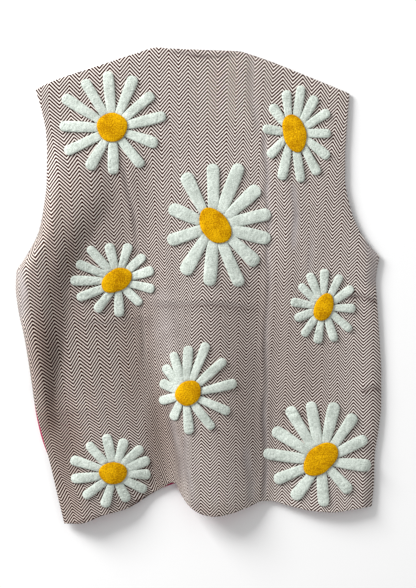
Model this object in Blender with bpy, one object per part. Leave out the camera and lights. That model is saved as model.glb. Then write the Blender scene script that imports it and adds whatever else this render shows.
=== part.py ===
"""A tweed waistcoat with raised daisies, laid out face down on a flat surface.

The back lies uppermost, over its lining. The two fronts lie under it, over the surface, each with
its own lining. +Y points to the neck and +X to the right of the back. Tables are in millimetres.
"""

import math

import bmesh
import bpy
import numpy as np
from mathutils import Matrix, Vector
from mathutils.bvhtree import BVHTree

MM = 0.001

# Walls of cloth, and the gaps between them
TWEED = 1.8
LINING = 1.0
SEAM_GAP = 0.3
HALF_GAP = SEAM_GAP / 2

# Height of the face between a front and its lining, and the least height of the face under the back
FRONT_FACE = TWEED + HALF_GAP
BACK_FACE = 4.65
SHOULDER_SEAM = 3.3
NECK_EDGE = 4.65

# How far in from an edge the cloth rolls over, and how far a lining stays back from it
ROLL = 16.0
LINING_SETBACK = 8.0
HEM_SETBACK = 5.0
FRONT_HEM_SETBACK = 1.5
LINING_SHOWN = 1.5

# Share of the height, up from the hem and down from the neck, over which the rows of cloth bend
HEM_BEND = 0.33
NECK_BEND = 0.38

# Both sides from hem to shoulder tip: x and y of the back's edge, height of the back's edge, height
# of the front's edge (the same where the side seam joins them), and how far the front reaches past
# the back. The row named underarm is the corner between side seam and armhole.
SIDE_COLUMNS = ("x", "y", "back_z", "front_z", "past")
LEFT_SIDE = (
    (-181, -319, 6.6, FRONT_FACE, -1.5),
    (-190, -281, 6.6, FRONT_FACE, -1.5),
    (-200, -238, 6.8, FRONT_FACE, 0.5),
    (-211, -198, 7.2, FRONT_FACE, 3.0),
    (-220, -158, 8.0, FRONT_FACE, 1.8),
    (-223, -136, 8.6, FRONT_FACE, 0.0),
    (-226, -115, 9.0, 9.0, 0.0),
    (-233, -72, 9.5, 9.5, 0.0),
    (-242, -30, 9.5, 9.5, 0.0),
    (-245, -3, 9.0, 9.0, 0.0),
    (-244, 19, 7.5, 7.5, 0.0),
    (-228, 43, 6.0, 2.6, -2.0),
    (-214, 72, 5.4, FRONT_FACE, -5.0),
    (-208, 102, 5.0, FRONT_FACE, -7.0),
    (-204, 139, 4.8, FRONT_FACE, -7.0),
    (-204, 171, 4.7, FRONT_FACE, -6.0),
    (-206, 204, 4.6, FRONT_FACE, -4.0),
    (-212, 234, 4.2, 2.2, -2.0),
    (-220, 261, SHOULDER_SEAM, SHOULDER_SEAM, 0.0),
)
RIGHT_SIDE = (
    (229, -296, 4.7, FRONT_FACE, -1.5),
    (232, -265, 4.7, FRONT_FACE, -1.5),
    (233, -230, 4.7, FRONT_FACE, -1.0),
    (238, -196, 4.4, 2.6, -0.5),
    (242, -158, 3.6, 3.6, 0.0),
    (242, -138, 3.6, 3.6, 0.0),
    (242, -118, 3.6, 3.6, 0.0),
    (240, -75, 3.8, 3.8, 0.0),
    (237, -27, 4.0, 4.0, 0.0),
    (235, 5, 4.0, 4.0, 0.0),
    (240, 38, 3.8, 3.8, 0.0),
    (222, 58, 4.6, 2.4, -2.0),
    (208, 83, 4.7, FRONT_FACE, -5.0),
    (200, 107, 4.7, FRONT_FACE, -7.0),
    (194, 142, 4.7, FRONT_FACE, -7.0),
    (194, 171, 4.7, FRONT_FACE, -6.0),
    (196, 204, 4.6, FRONT_FACE, -4.0),
    (198, 231, 4.2, 2.2, -2.0),
    (200, 256, SHOULDER_SEAM, SHOULDER_SEAM, 0.0),
)
UNDERARM = 10

# The back's hem and its top edge, left to right
HEM = (
    (-181, -319), (-162, -319), (-130, -308), (-98, -299), (-66, -280), (-46, -269), (-36, -264),
    (-31, -265), (-26, -276), (-16, -292), (-7, -301), (6, -307), (20, -309), (38, -306),
    (66, -296), (84, -289), (94, -289), (118, -295), (150, -302), (178, -304), (206, -300), (229, -296),
)
TOP = (
    (-220, 261), (-206, 269), (-142, 291.5), (-86, 310), (-64, 317), (-56, 318), (-44, 316.8),
    (0, 314.8), (54, 312.5), (64, 309.5), (96, 298.5), (143, 279.5), (192, 259.5), (200, 256),
)
NECK = (-62, 60)

# Inner edge of each front, hem to neck: share of the height, x and y. The middle row ends the V.
LEFT_FRONT_EDGE = ((0.0, -31, -266), (0.65, -3, 62), (1.0, -62, 317.3))
RIGHT_FRONT_EDGE = ((0.0, -20, -279), (0.65, 3, 62), (1.0, 60, 310.8))

# Folds of the back. Each is a ridge along a line that runs down the cloth, with a row for each
# station: y and x of the ridge, its height, and its width on the left and on the right.
FOLD_COLUMNS = ("y", "x", "height", "left", "right")
FOLDS = {
    "left_roll": (
        (200, -168, 0, 60, 60), (115, -187, 11, 60, 75), (48, -213, 16, 60, 62),
        (-19, -232, 17, 60, 58), (-79, -229, 17, 60, 50), (-127, -225, 13, 60, 36),
        (-157, -222, 9, 60, 30), (-195, -212, 0, 60, 30),
    ),
    "left_swell": (
        (230, -165, 0, 90, 90), (115, -180, 7, 90, 120), (0, -225, 9, 90, 150),
        (-100, -220, 9, 90, 150), (-200, -200, 8, 90, 135), (-330, -175, 6, 90, 115),
    ),
    "left_hem": (
        (-150, -140, 0, 50, 80), (-205, -143, 4, 45, 85), (-260, -147, 8, 40, 88),
        (-330, -150, 10, 32, 84),
    ),
    "middle_crest": (
        (170, -34, 0, 70, 125), (110, -35, 3, 70, 127), (50, -41, 8, 62, 133),
        (-20, -38, 14, 54, 130), (-100, -26, 19, 46, 122), (-200, -14, 22, 42, 112),
        (-285, -8, 24, 36, 104), (-330, -7, 24, 34, 103),
    ),
    "right_plateau": (
        (235, 110, 0, 30, 120), (180, 111, 2, 30, 140), (120, 113, 2.5, 30, 150),
        (50, 119, 3, 34, 170), (-60, 132, 3.5, 45, 180), (-200, 152, 5, 62, 160),
        (-330, 173, 9, 82, 110),
    ),
}
LATE_FALL = 1.7

# Lines that the back's columns of cells follow: (height of row, x) for the left valley, the crest
# beside it and the right valley
GUIDES = {
    "left_valley": ((-307, -36), (-200, -48), (-110, -62), (-40, -80), (60, -92), (160, -72), (260, -62)),
    "crest": ((-307, -6), (-200, -14), (-110, -25), (-40, -37), (60, -40), (160, -28), (260, -22)),
    "right_valley": ((-307, 89), (-110, 91), (60, 92), (160, 80), (260, 60)),
}
COLUMNS_BETWEEN = {"left": 6, "steep": 4, "middle": 5, "right": 6}
ROWS_BETWEEN_SECTIONS = (2, 2, 1, 1, 1, 1, 1, 1, 1, 1, 1, 1, 1, 1, 1, 1, 1, 2)
FRONT_COLUMNS = 3

# Daisies: centre of the disc, its two radii and the tilt of the longer one, middle of the petals
# from the disc's centre, their reach across and up, half width of a petal, direction of the first
# petal, and where and how much the petals crowd together (degrees)
DAISY_COLUMNS = (
    "x", "y", "disc_long", "disc_short", "tilt", "shift_x", "shift_y", "reach_x", "reach_y",
    "petal", "first", "crowd_at", "crowd",
)
DAISIES = {
    "left_shoulder": (-117.5, 211, 20.4, 19.6, 0, -1.7, 5.6, 71.7, 69.5, 7.4, 94, 75, 2),
    "right_shoulder": (126.4, 203, 26.0, 15.4, 104, 4.3, -2.7, 46.2, 65.0, 6.5, 88, 30, 8),
    "middle": (20.1, 79, 26.6, 18.2, 127, 4.7, 1.3, 70.4, 85.8, 9.0, 104, 0, 8),
    "left_waist": (-111.2, 6.3, 22.0, 14.7, 30, -5.0, 2.0, 56.3, 49.6, 6.4, 68, 90, 6),
    "right_waist": (165.5, -30, 19.4, 12.3, 68, 0.7, 0.8, 43.6, 50.3, 5.8, 84, 150, 6),
    "low_middle": (-15.7, -144, 18.4, 15.8, 40, 12.3, 6.2, 51.6, 60.3, 6.4, 90, 150, 14),
    "left_hem": (-115.8, -251, 18.8, 14.8, 0, -3.5, 2.8, 55.0, 47.6, 6.6, 106, 30, 10),
    "right_hem": (161.1, -232.6, 27.2, 17.4, 42, -3.4, 8.2, 70.6, 70.4, 8.0, 98, 105, 8),
}
PETALS = 12
PETAL_THICKNESS = 3.0
PETAL_EDGE = 1.7
HUB_THICKNESS = 1.2
HUB_SHARE = 0.82
DISC_THICKNESS = 3.4
DISC_SIDES = 16
# Rings of a disc, from its edge in: share of its radius, share of its thickness
DISC_RINGS = ((1.0, 0.5), (0.6, 0.93))
DAISY_CLEARANCE = 0.35
SEATING_PASSES = 3
SAMPLES_PER_SIDE = 5
SAMPLES = [
    (a / SAMPLES_PER_SIDE, b / SAMPLES_PER_SIDE, 1 - (a + b) / SAMPLES_PER_SIDE)
    for a in range(SAMPLES_PER_SIDE + 1) for b in range(SAMPLES_PER_SIDE + 1 - a)
]
# Stations along a petal: share of its length, share of its half width, share of its thickness
PETAL_STATIONS = (
    (0.0, 0.55, 0.8), (0.36, 0.82, 1.0), (0.7, 1.0, 1.0), (0.9, 0.84, 0.95), (1.0, 0.4, 0.6),
)
# Most of the way to its neighbours that a petal's edge reaches
PETAL_ROOM = 0.88
WOBBLE_DEGREES = 1.5
WOBBLE_LENGTH = 0.04

COLOURS = {
    "tweed": ((0.36, 0.31, 0.28), 0.9),
    "lining": ((0.42, 0.03, 0.09), 0.55),
    "petal_wool": ((0.66, 0.72, 0.67), 0.95),
    "disc_wool": ((0.72, 0.38, 0.01), 0.95),
}


def smooth_line(points):
    """A function through (x, y) points that doesn't overshoot them: a monotone cubic."""
    xs, ys = (np.array(column, float) for column in zip(*sorted(points)))
    steps, rises = np.diff(xs), np.diff(ys)
    secants = rises / steps
    slopes = np.empty(len(xs))
    slopes[0], slopes[-1] = secants[0], secants[-1]
    for i in range(1, len(xs) - 1):
        before, after = secants[i - 1], secants[i]
        if before * after <= 0:
            slopes[i] = 0.0
        else:
            far, near = 2 * steps[i] + steps[i - 1], steps[i] + 2 * steps[i - 1]
            slopes[i] = (far + near) / (far / before + near / after)

    def at(x):
        x = min(max(x, xs[0]), xs[-1])
        i = min(int(np.searchsorted(xs, x, "right")) - 1, len(steps) - 1)
        t = (x - xs[i]) / steps[i]
        start = ys[i] * (1 + 2 * t) + slopes[i] * steps[i] * t
        end = ys[i + 1] * (3 - 2 * t) + slopes[i + 1] * steps[i] * (t - 1)
        return start * (1 - t) ** 2 + end * t**2

    return at


def ease(t):
    """0 to 1 with level ends."""
    t = min(max(t, 0.0), 1.0)
    return t * t * (3 - 2 * t)


def between(a, b, share):
    return a + (b - a) * share


def section_heights():
    """Share of the height, 0 at the hem and 1 at the shoulder tips, of each row of the side tables."""
    middles = [(left[1] + right[1]) / 2 for left, right in zip(LEFT_SIDE, RIGHT_SIDE)]
    low, high = middles[0], middles[-1]
    return [(middle - low) / (high - low) for middle in middles], low, high


SECTION_UPS, ROW_LOW, ROW_HIGH = section_heights()


def side_lines(rows):
    """For each column of a side table, a function of the share of the height. The underarm is a corner."""
    made = {}
    for c, column in enumerate(SIDE_COLUMNS):
        points = [(up, row[c]) for up, row in zip(SECTION_UPS, rows)]
        below = smooth_line(points[: UNDERARM + 1])
        above = smooth_line(points[UNDERARM:])
        made[column] = lambda up, b=below, a=above: b(up) if up <= SECTION_UPS[UNDERARM] else a(up)
    return made


SIDES = {"left": side_lines(LEFT_SIDE), "right": side_lines(RIGHT_SIDE)}
HEM_LINE = smooth_line(HEM)
TOP_LINE = smooth_line(TOP)
FOLD_LINES = {
    name: {
        column: smooth_line([(row[0], row[c]) for row in rows])
        for c, column in enumerate(FOLD_COLUMNS[1:], 1)
    }
    for name, rows in FOLDS.items()
}


def relief(x, y):
    """Height of the face under the back, in millimetres, before its edges roll down."""
    height = BACK_FACE
    for fold in FOLD_LINES.values():
        away = x - fold["x"](y)
        if away < 0:
            share = ease(1 + away / fold["left"](y))
        else:
            share = 1 - ease(min(1.0, away / fold["right"](y)) ** LATE_FALL)
        height += fold["height"](y) * share
    return height


def rolled(inner, edge, distance):
    """Height at a distance in from an edge, where the cloth rolls from inner to the edge's height."""
    share = min(1.0, max(0.0, distance / ROLL))
    return edge + (inner - edge) * (1 - (1 - share) ** 2)


def top_edge_height(x, open_height):
    """Height of the top edge: the shoulder seams, and the open neck between them."""
    from_neck = min(x - NECK[0], NECK[1] - x)
    return between(SHOULDER_SEAM, open_height, ease(from_neck / ROLL))


def back_point(share, up):
    """A point of the face under the back: share of the width, share of the height."""
    left, right = SIDES["left"], SIDES["right"]
    x = between(left["x"](up), right["x"](up), share)
    hem_x = between(left["x"](0), right["x"](0), share)
    hem_bow = HEM_LINE(hem_x) - between(left["y"](0), right["y"](0), share)
    top_x = between(left["x"](1), right["x"](1), share)
    top_bow = TOP_LINE(top_x) - between(left["y"](1), right["y"](1), share)
    y = between(left["y"](up), right["y"](up), share)
    y += hem_bow * max(0.0, 1 - up / HEM_BEND) ** 2
    y += top_bow * max(0.0, 1 - (1 - up) / NECK_BEND) ** 2
    z = relief(x, y)
    z = rolled(z, left["back_z"](up), x - left["x"](up))
    z = rolled(z, right["back_z"](up), right["x"](up) - x)
    z = rolled(z, top_edge_height(top_x, NECK_EDGE), TOP_LINE(top_x) - y)
    return Vector((x, y, z))


def front_point(side, inner_edge, share, up):
    """A point of the face over a front. share is 0 at the side and 1 at the inner edge."""
    line = SIDES[side]
    outward = -1 if side == "left" else 1
    rows = [row[0] for row in inner_edge]
    inner_x = np.interp(up, rows, [row[1] for row in inner_edge])
    inner_y = np.interp(up, rows, [row[2] for row in inner_edge])
    side_x = line["x"](up) + outward * line["past"](up)
    x = between(side_x, inner_x, share)
    y = between(line["y"](up), inner_y, share)
    shoulder_bow = TOP_LINE(x) - between(line["y"](1), inner_edge[-1][2], share)
    y += shoulder_bow * max(0.0, 1 - (1 - up) / NECK_BEND) ** 8
    y += FRONT_HEM_SETBACK * max(0.0, 1 - up / HEM_BEND) ** 8
    z = rolled(FRONT_FACE, line["front_z"](up), abs(x - line["x"](up)))
    if up > 1 - NECK_BEND:
        z = rolled(z, top_edge_height(x, FRONT_FACE), TOP_LINE(x) - y)
    return Vector((x, y, z))


def normal_at(surface, share, up):
    """Upward normal of a surface given as a function of two shares."""
    step = 0.002
    low_s, high_s = max(0.0, share - step), min(1.0, share + step)
    low_u, high_u = max(0.0, up - step), min(1.0, up + step)
    across = surface(high_s, up) - surface(low_s, up)
    along = surface(share, high_u) - surface(share, low_u)
    normal = across.cross(along).normalized()
    return normal if normal.z > 0 else -normal


def row_heights():
    """Rows of cells, hem to top, with one close to each end for the linings' edges."""
    total = ROW_HIGH - ROW_LOW
    ups = [0.0, HEM_SETBACK / total]
    for i, count in enumerate(ROWS_BETWEEN_SECTIONS):
        low, high = SECTION_UPS[i], SECTION_UPS[i + 1]
        ups += [between(low, high, (k + 1) / count) for k in range(count)]
    ups[-1:] = [1 - LINING_SETBACK / total, 1.0]
    return ups


def back_shares(up):
    """Shares of the width of the back's columns at a row: the rolled sides, then the guides' spans."""
    left, right = SIDES["left"]["x"](up), SIDES["right"]["x"](up)
    row = between(ROW_LOW, ROW_HIGH, up)
    valley, crest, far_valley = (smooth_line(points)(row) for points in GUIDES.values())
    marks = [left + ROLL, valley, crest, far_valley, right - ROLL]
    xs = [left, left + LINING_SETBACK, marks[0]]
    for start, end, count in zip(marks, marks[1:], COLUMNS_BETWEEN.values()):
        xs += [between(start, end, (k + 1) / count) for k in range(count)]
    xs += [right - LINING_SETBACK, right]
    return [(x - left) / (right - left) for x in xs]


def material(name):
    """The Principled material of a cloth or wool."""
    made = bpy.data.materials.get(name)
    if made is None:
        colour, roughness = COLOURS[name]
        made = bpy.data.materials.new(name)
        made.use_nodes = True
        shader = made.node_tree.nodes["Principled BSDF"]
        shader.inputs["Base Color"].default_value = (*colour, 1.0)
        shader.inputs["Roughness"].default_value = roughness
    return made


def add_object(name, points, faces, finish):
    """A named object from points in millimetres and faces that point out."""
    mesh = bpy.data.meshes.new(name)
    mesh.from_pydata([tuple(Vector(p) * MM) for p in points], [], faces)
    mesh.materials.append(material(finish))
    mesh.shade_smooth()
    obj = bpy.data.objects.new(name, mesh)
    bpy.context.scene.collection.objects.link(obj)
    shape = bmesh.new()
    shape.from_mesh(mesh)
    bmesh.ops.recalc_face_normals(shape, faces=shape.faces)
    shape.to_mesh(mesh)
    shape.free()
    mesh.set_sharp_from_angle(angle=math.radians(50))
    return obj


def grid_faces(rows, columns, start=0, flip=False):
    """Triangles of a grid of points, split along one diagonal."""
    faces = []
    for i in range(rows - 1):
        for j in range(columns - 1):
            a = start + i * columns + j
            b, c, d = a + 1, a + columns + 1, a + columns
            faces += [(a, b, c), (a, c, d)]
    return [face[::-1] for face in faces] if flip else faces


def rim(rows, columns):
    """Indices of a grid's border, once round."""
    border = list(range(columns))
    border += [i * columns + columns - 1 for i in range(1, rows)]
    border += [(rows - 1) * columns + j for j in range(columns - 2, -1, -1)]
    border += [i * columns for i in range(rows - 2, 0, -1)]
    return border


def add_wall(name, face, normals, low, high, finish):
    """A wall of cloth along a face of points, between two distances from it along its normals."""
    rows, columns = len(face), len(face[0])
    flat = [(p, n) for row, ns in zip(face, normals) for p, n in zip(row, ns)]
    upper = [p + n * high for p, n in flat]
    lower = [p + n * low for p, n in flat]
    count = len(flat)
    faces = grid_faces(rows, columns) + grid_faces(rows, columns, count, flip=True)
    border = rim(rows, columns)
    for a, b in zip(border, border[1:] + border[:1]):
        faces += [(a, a + count, b + count), (a, b + count, b)]
    return add_object(name, upper + lower, faces, finish)


def add_back(ups):
    """The back and, on its inner rows and columns, its lining."""
    shares = [back_shares(up) for up in ups]
    face = [[back_point(s, up) for s in row] for row, up in zip(shares, ups)]
    normals = [[normal_at(back_point, s, up) for s in row] for row, up in zip(shares, ups)]
    back = add_wall("back", face, normals, HALF_GAP, HALF_GAP + TWEED, "tweed")
    inner_face = [row[1:-1] for row in face[1:-1]]
    inner_normals = [row[1:-1] for row in normals[1:-1]]
    add_wall("back_lining", inner_face, inner_normals, -HALF_GAP - LINING, -HALF_GAP, "lining")
    return back


def add_front(side, inner_edge, ups):
    """A front, and its lining over it, which reaches the edge where the front shows past the back."""
    def surface(share, up):
        return front_point(side, inner_edge, share, up)

    face, normals = [], []
    lining_face, lining_normals = [], []
    for up in ups:
        width = abs(surface(1, up).x - surface(0, up).x)
        shares = [0.0, LINING_SETBACK / width, ROLL / width]
        shares += [between(shares[-1], 1, (k + 1) / FRONT_COLUMNS) for k in range(FRONT_COLUMNS)]
        row = [surface(share, up) for share in shares]
        row_normals = [normal_at(surface, share, up) for share in shares]
        face.append(row)
        normals.append(row_normals)
        shown = ease(SIDES[side]["past"](up) / LINING_SHOWN)
        lining_face.append([between(row[2], row[0], shown), *row[3:]])
        edge_normal = between(row_normals[2], row_normals[0], shown).normalized()
        lining_normals.append([edge_normal, *row_normals[3:]])
    add_wall(f"{side}_front", face, normals, -HALF_GAP - TWEED, -HALF_GAP, "tweed")
    add_wall(
        f"{side}_front_lining", lining_face[:-2], lining_normals[:-2],
        HALF_GAP, HALF_GAP + LINING, "lining",
    )


class Ground:
    """The upper face of one or more objects, as they are built, for what lies on them."""

    def __init__(self, *objects):
        self.trees = []
        for obj in objects:
            points = [v.co / MM for v in obj.data.vertices]
            polygons = [tuple(p.vertices) for p in obj.data.polygons]
            self.trees.append(BVHTree.FromPolygons(points, polygons))

    def height(self, x, y):
        hits = [tree.ray_cast(Vector((x, y, 500.0)), Vector((0, 0, -1)))[0] for tree in self.trees]
        return max(hit.z for hit in hits if hit)

    def seat(self, lower, triangles, clearance):
        """Heights for the lower points of a piece, so that its facets clear this ground."""
        heights = [self.height(x, y) + clearance for x, y in lower]
        for _ in range(SEATING_PASSES):
            for corners in triangles:
                sunk = 0.0
                for shares in SAMPLES:
                    x, y, z = (
                        sum(s * v for s, v in zip(shares, values))
                        for values in zip(*((*lower[c], heights[c]) for c in corners))
                    )
                    sunk = max(sunk, self.height(x, y) + clearance - z)
                for c in corners:
                    heights[c] += sunk
        return heights


def petal_angles(daisy, order):
    """Directions of a daisy's petals in radians, crowded on one side and a little uneven."""
    angles = []
    for k in range(PETALS):
        turn = daisy["first"] + 360 * k / PETALS
        turn -= daisy["crowd"] * math.sin(math.radians(turn - daisy["crowd_at"]))
        turn += WOBBLE_DEGREES * math.sin(5.1 * k + 1.7 * order)
        angles.append(math.radians(turn))
    return angles


def disc_edge(daisy, angle, scale=1.0):
    """A point of the disc's edge in the direction of an angle, from its centre."""
    tilt = math.radians(daisy["tilt"])
    along, side = math.cos(angle - tilt), math.sin(angle - tilt)
    radius = scale / math.hypot(along / daisy["disc_long"], side / daisy["disc_short"])
    return daisy["x"] + radius * math.cos(angle), daisy["y"] + radius * math.sin(angle)


def petal_line(daisy, angle, k, order):
    """Root and tip of a petal, in plan."""
    root = Vector(disc_edge(daisy, angle, HUB_SHARE))
    stretch = 1 + WOBBLE_LENGTH * math.sin(3.7 * k + 2.3 * order)
    tip = Vector((
        daisy["x"] + daisy["shift_x"] + daisy["reach_x"] * math.cos(angle) * stretch,
        daisy["y"] + daisy["shift_y"] + daisy["reach_y"] * math.sin(angle) * stretch,
    ))
    return root, tip


def add_raised(name, lower, thicknesses, triangles, sides, ground, finish):
    """A raised piece on a ground: a lower face of triangles, an upper one over it, and their sides."""
    heights = ground.seat(lower, triangles, DAISY_CLEARANCE)
    points = [(x, y, z) for (x, y), z in zip(lower, heights)]
    points += [(x, y, z + thick) for (x, y), z, thick in zip(lower, heights, thicknesses)]
    count = len(lower)
    faces = [face[::-1] for face in triangles]
    faces += [tuple(i + count for i in face) for face in triangles]
    for a, b in sides:
        faces += [(a, b, b + count), (a, b + count, a + count)]
    return add_object(name, points, faces, finish)


def add_petals(name, daisy, order, ground):
    """One daisy's petals, joined under its disc, as one raised piece of wool on the back."""
    lower, thicknesses, triangles, sides, roots = [], [], [], [], []

    def add_point(place, thickness):
        lower.append(tuple(place))
        thicknesses.append(thickness)
        return len(lower) - 1

    lines = [petal_line(daisy, angle, k, order) for k, angle in enumerate(petal_angles(daisy, order))]
    for k, (root, tip) in enumerate(lines):
        along = tip - root
        side = Vector((-along.y, along.x)).normalized()
        neighbours = (lines[k - 1], lines[(k + 1) % PETALS])
        stations = []
        for share, width, thickness in PETAL_STATIONS:
            middle = root + along * share
            room = min((middle - start - (end - start) * share).length for start, end in neighbours) / 2
            half = min(daisy["petal"] * width, PETAL_ROOM * room)
            edge = HUB_THICKNESS if share == 0 else PETAL_EDGE
            stations.append((
                add_point(middle - side * half, edge),
                add_point(middle, PETAL_THICKNESS * thickness),
                add_point(middle + side * half, edge),
            ))
        for here, there in zip(stations, stations[1:]):
            for a in (0, 1):
                triangles += [(here[a], there[a], there[a + 1]), (here[a], there[a + 1], here[a + 1])]
            sides += [(here[0], there[0]), (there[2], here[2])]
        end = stations[-1]
        sides += [(end[0], end[1]), (end[1], end[2])]
        roots.append(stations[0])
    centre = add_point((daisy["x"], daisy["y"]), HUB_THICKNESS)
    for here, there in zip(roots, roots[1:] + roots[:1]):
        for a, b in ((here[0], here[1]), (here[1], here[2]), (here[2], there[0])):
            triangles.append((centre, a, b))
        sides.append((here[2], there[0]))
    return add_raised(f"petals_{name}", lower, thicknesses, triangles, sides, ground, "petal_wool")


def add_disc(name, daisy, ground):
    """The yellow disc of a daisy, a low dome over the petals' roots."""
    lower, thicknesses, triangles = [], [], []
    for scale, thickness in DISC_RINGS:
        for k in range(DISC_SIDES):
            lower.append(disc_edge(daisy, 2 * math.pi * k / DISC_SIDES, scale))
            thicknesses.append(DISC_THICKNESS * thickness)
    centre = len(lower)
    lower.append((daisy["x"], daisy["y"]))
    thicknesses.append(DISC_THICKNESS)
    for k in range(DISC_SIDES):
        n = (k + 1) % DISC_SIDES
        triangles += [(k, n, n + DISC_SIDES), (k, n + DISC_SIDES, k + DISC_SIDES)]
        triangles.append((k + DISC_SIDES, n + DISC_SIDES, centre))
    sides = [(k, (k + 1) % DISC_SIDES) for k in range(DISC_SIDES)]
    add_raised(f"disc_{name}", lower, thicknesses, triangles, sides, ground, "disc_wool")


def centre(objects):
    """Moves everything so that the middle of the underside of its bounding box is the origin."""
    points = np.array([tuple(v.co) for obj in objects for v in obj.data.vertices])
    low, high = points.min(axis=0), points.max(axis=0)
    middle = (low + high) / 2
    for obj in objects:
        obj.data.transform(Matrix.Translation((-middle[0], -middle[1], -low[2])))


def main():
    for obj in list(bpy.data.objects):
        bpy.data.objects.remove(obj)
    ups = row_heights()
    back = add_back(ups)
    add_front("left", LEFT_FRONT_EDGE, ups)
    add_front("right", RIGHT_FRONT_EDGE, ups)
    ground = Ground(back)
    for order, (name, row) in enumerate(DAISIES.items()):
        daisy = dict(zip(DAISY_COLUMNS, row))
        petals = add_petals(name, daisy, order, ground)
        add_disc(name, daisy, Ground(back, petals))
    centre(list(bpy.data.objects))


main()
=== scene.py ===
"""Looks of a tweed waistcoat laid out face down: woven cloth, creases, linings and raised daisies.

The tables are in millimetres, in the drawing from which the part was built. SHIFT moves that drawing
into the part's own frame. +Y points to the neck and +X to the right of the back.
"""

import math

import bpy
import numpy as np
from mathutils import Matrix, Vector
from mathutils.bvhtree import BVHTree


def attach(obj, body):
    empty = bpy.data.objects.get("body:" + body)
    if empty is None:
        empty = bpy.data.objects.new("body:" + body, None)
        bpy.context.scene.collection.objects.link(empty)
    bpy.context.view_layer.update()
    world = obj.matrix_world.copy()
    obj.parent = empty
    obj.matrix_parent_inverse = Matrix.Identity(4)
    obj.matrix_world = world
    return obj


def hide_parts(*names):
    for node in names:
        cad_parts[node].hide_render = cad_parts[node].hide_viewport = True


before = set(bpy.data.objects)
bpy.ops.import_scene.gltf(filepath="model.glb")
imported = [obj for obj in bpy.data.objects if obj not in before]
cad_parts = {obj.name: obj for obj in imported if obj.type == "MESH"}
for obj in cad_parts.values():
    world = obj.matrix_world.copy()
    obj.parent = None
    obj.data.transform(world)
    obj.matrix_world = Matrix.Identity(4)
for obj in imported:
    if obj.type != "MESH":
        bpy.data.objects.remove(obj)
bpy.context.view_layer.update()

MM = 0.001
SHIFT = np.array((1.96, 0.69, 0.0))

# Walls of cloth, the gaps between them, and the heights of the faces between cloth and lining
TWEED = 1.8
LINING = 1.0
HALF_GAP = 0.15
FRONT_FACE = TWEED + HALF_GAP
BACK_FACE = 4.65
SHOULDER_SEAM = 3.3
NECK_EDGE = 4.65

# How far in from an edge the cloth rolls over
ROLL = 16.0
# How far the back's lining stays in from the sides and top and from the hem, and how far below the
# shoulder seam a front's lining ends
LINING_SETBACK = 8.0
HEM_SETBACK = 5.0
LINING_ENDS = 22.0
# A front's lining reaches its side where the front reaches this far past the back
LINING_SHOWN = 1.5
# How much higher a front's hem lies than the tables say
FRONT_HEM_RISE = 1.5
# Shares of the height over which the rows bend to follow the hem and the top edge, and how late they
# do so in the back and in a front
HEM_BEND = 0.33
NECK_BEND = 0.38
BACK_BEND_POWER = 2
FRONT_BEND_POWER = 8

# Both sides from hem to shoulder tip: x and y of the back's edge, height of the back's edge, height
# of the front's edge, and how far the front reaches past the back
SIDE_COLUMNS = ("x", "y", "back_z", "front_z", "past")
LEFT_SIDE = (
    (-181, -319, 6.6, FRONT_FACE, -1.5),
    (-190, -281, 6.6, FRONT_FACE, -1.5),
    (-200, -238, 6.8, FRONT_FACE, 0.5),
    (-211, -198, 7.2, FRONT_FACE, 3.0),
    (-220, -158, 8.0, FRONT_FACE, 1.8),
    (-223, -136, 8.6, FRONT_FACE, 0.0),
    (-226, -115, 9.0, 9.0, 0.0),
    (-233, -72, 9.5, 9.5, 0.0),
    (-242, -30, 9.5, 9.5, 0.0),
    (-245, -3, 9.0, 9.0, 0.0),
    (-244, 19, 7.5, 7.5, 0.0),
    (-228, 43, 6.0, 2.6, -2.0),
    (-214, 72, 5.4, FRONT_FACE, -5.0),
    (-208, 102, 5.0, FRONT_FACE, -7.0),
    (-204, 139, 4.8, FRONT_FACE, -7.0),
    (-204, 171, 4.7, FRONT_FACE, -6.0),
    (-206, 204, 4.6, FRONT_FACE, -4.0),
    (-212, 234, 4.2, 2.2, -2.0),
    (-220, 261, SHOULDER_SEAM, SHOULDER_SEAM, 0.0),
)
RIGHT_SIDE = (
    (229, -296, 4.7, FRONT_FACE, -1.5),
    (232, -265, 4.7, FRONT_FACE, -1.5),
    (233, -230, 4.7, FRONT_FACE, -1.0),
    (238, -196, 4.4, 2.6, -0.5),
    (242, -158, 3.6, 3.6, 0.0),
    (242, -138, 3.6, 3.6, 0.0),
    (242, -118, 3.6, 3.6, 0.0),
    (240, -75, 3.8, 3.8, 0.0),
    (237, -27, 4.0, 4.0, 0.0),
    (235, 5, 4.0, 4.0, 0.0),
    (240, 38, 3.8, 3.8, 0.0),
    (222, 58, 4.6, 2.4, -2.0),
    (208, 83, 4.7, FRONT_FACE, -5.0),
    (200, 107, 4.7, FRONT_FACE, -7.0),
    (194, 142, 4.7, FRONT_FACE, -7.0),
    (194, 171, 4.7, FRONT_FACE, -6.0),
    (196, 204, 4.6, FRONT_FACE, -4.0),
    (198, 231, 4.2, 2.2, -2.0),
    (200, 256, SHOULDER_SEAM, SHOULDER_SEAM, 0.0),
)
# The row of both tables that is the underarm
UNDERARM = 10

# The back's hem and its top edge, left to right, and the ends of the neck
HEM = (
    (-181, -319), (-162, -319), (-130, -308), (-98, -299), (-66, -280), (-46, -269), (-36, -264),
    (-31, -265), (-26, -276), (-16, -292), (-7, -301), (6, -307), (20, -309), (38, -306),
    (66, -296), (84, -289), (94, -289), (118, -295), (150, -302), (178, -304), (206, -300), (229, -296),
)
TOP = (
    (-220, 261), (-206, 269), (-142, 291.5), (-86, 310), (-64, 317), (-56, 318), (-44, 316.8),
    (0, 314.8), (54, 312.5), (64, 309.5), (96, 298.5), (143, 279.5), (192, 259.5), (200, 256),
)
NECK = (-62, 60)

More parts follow.
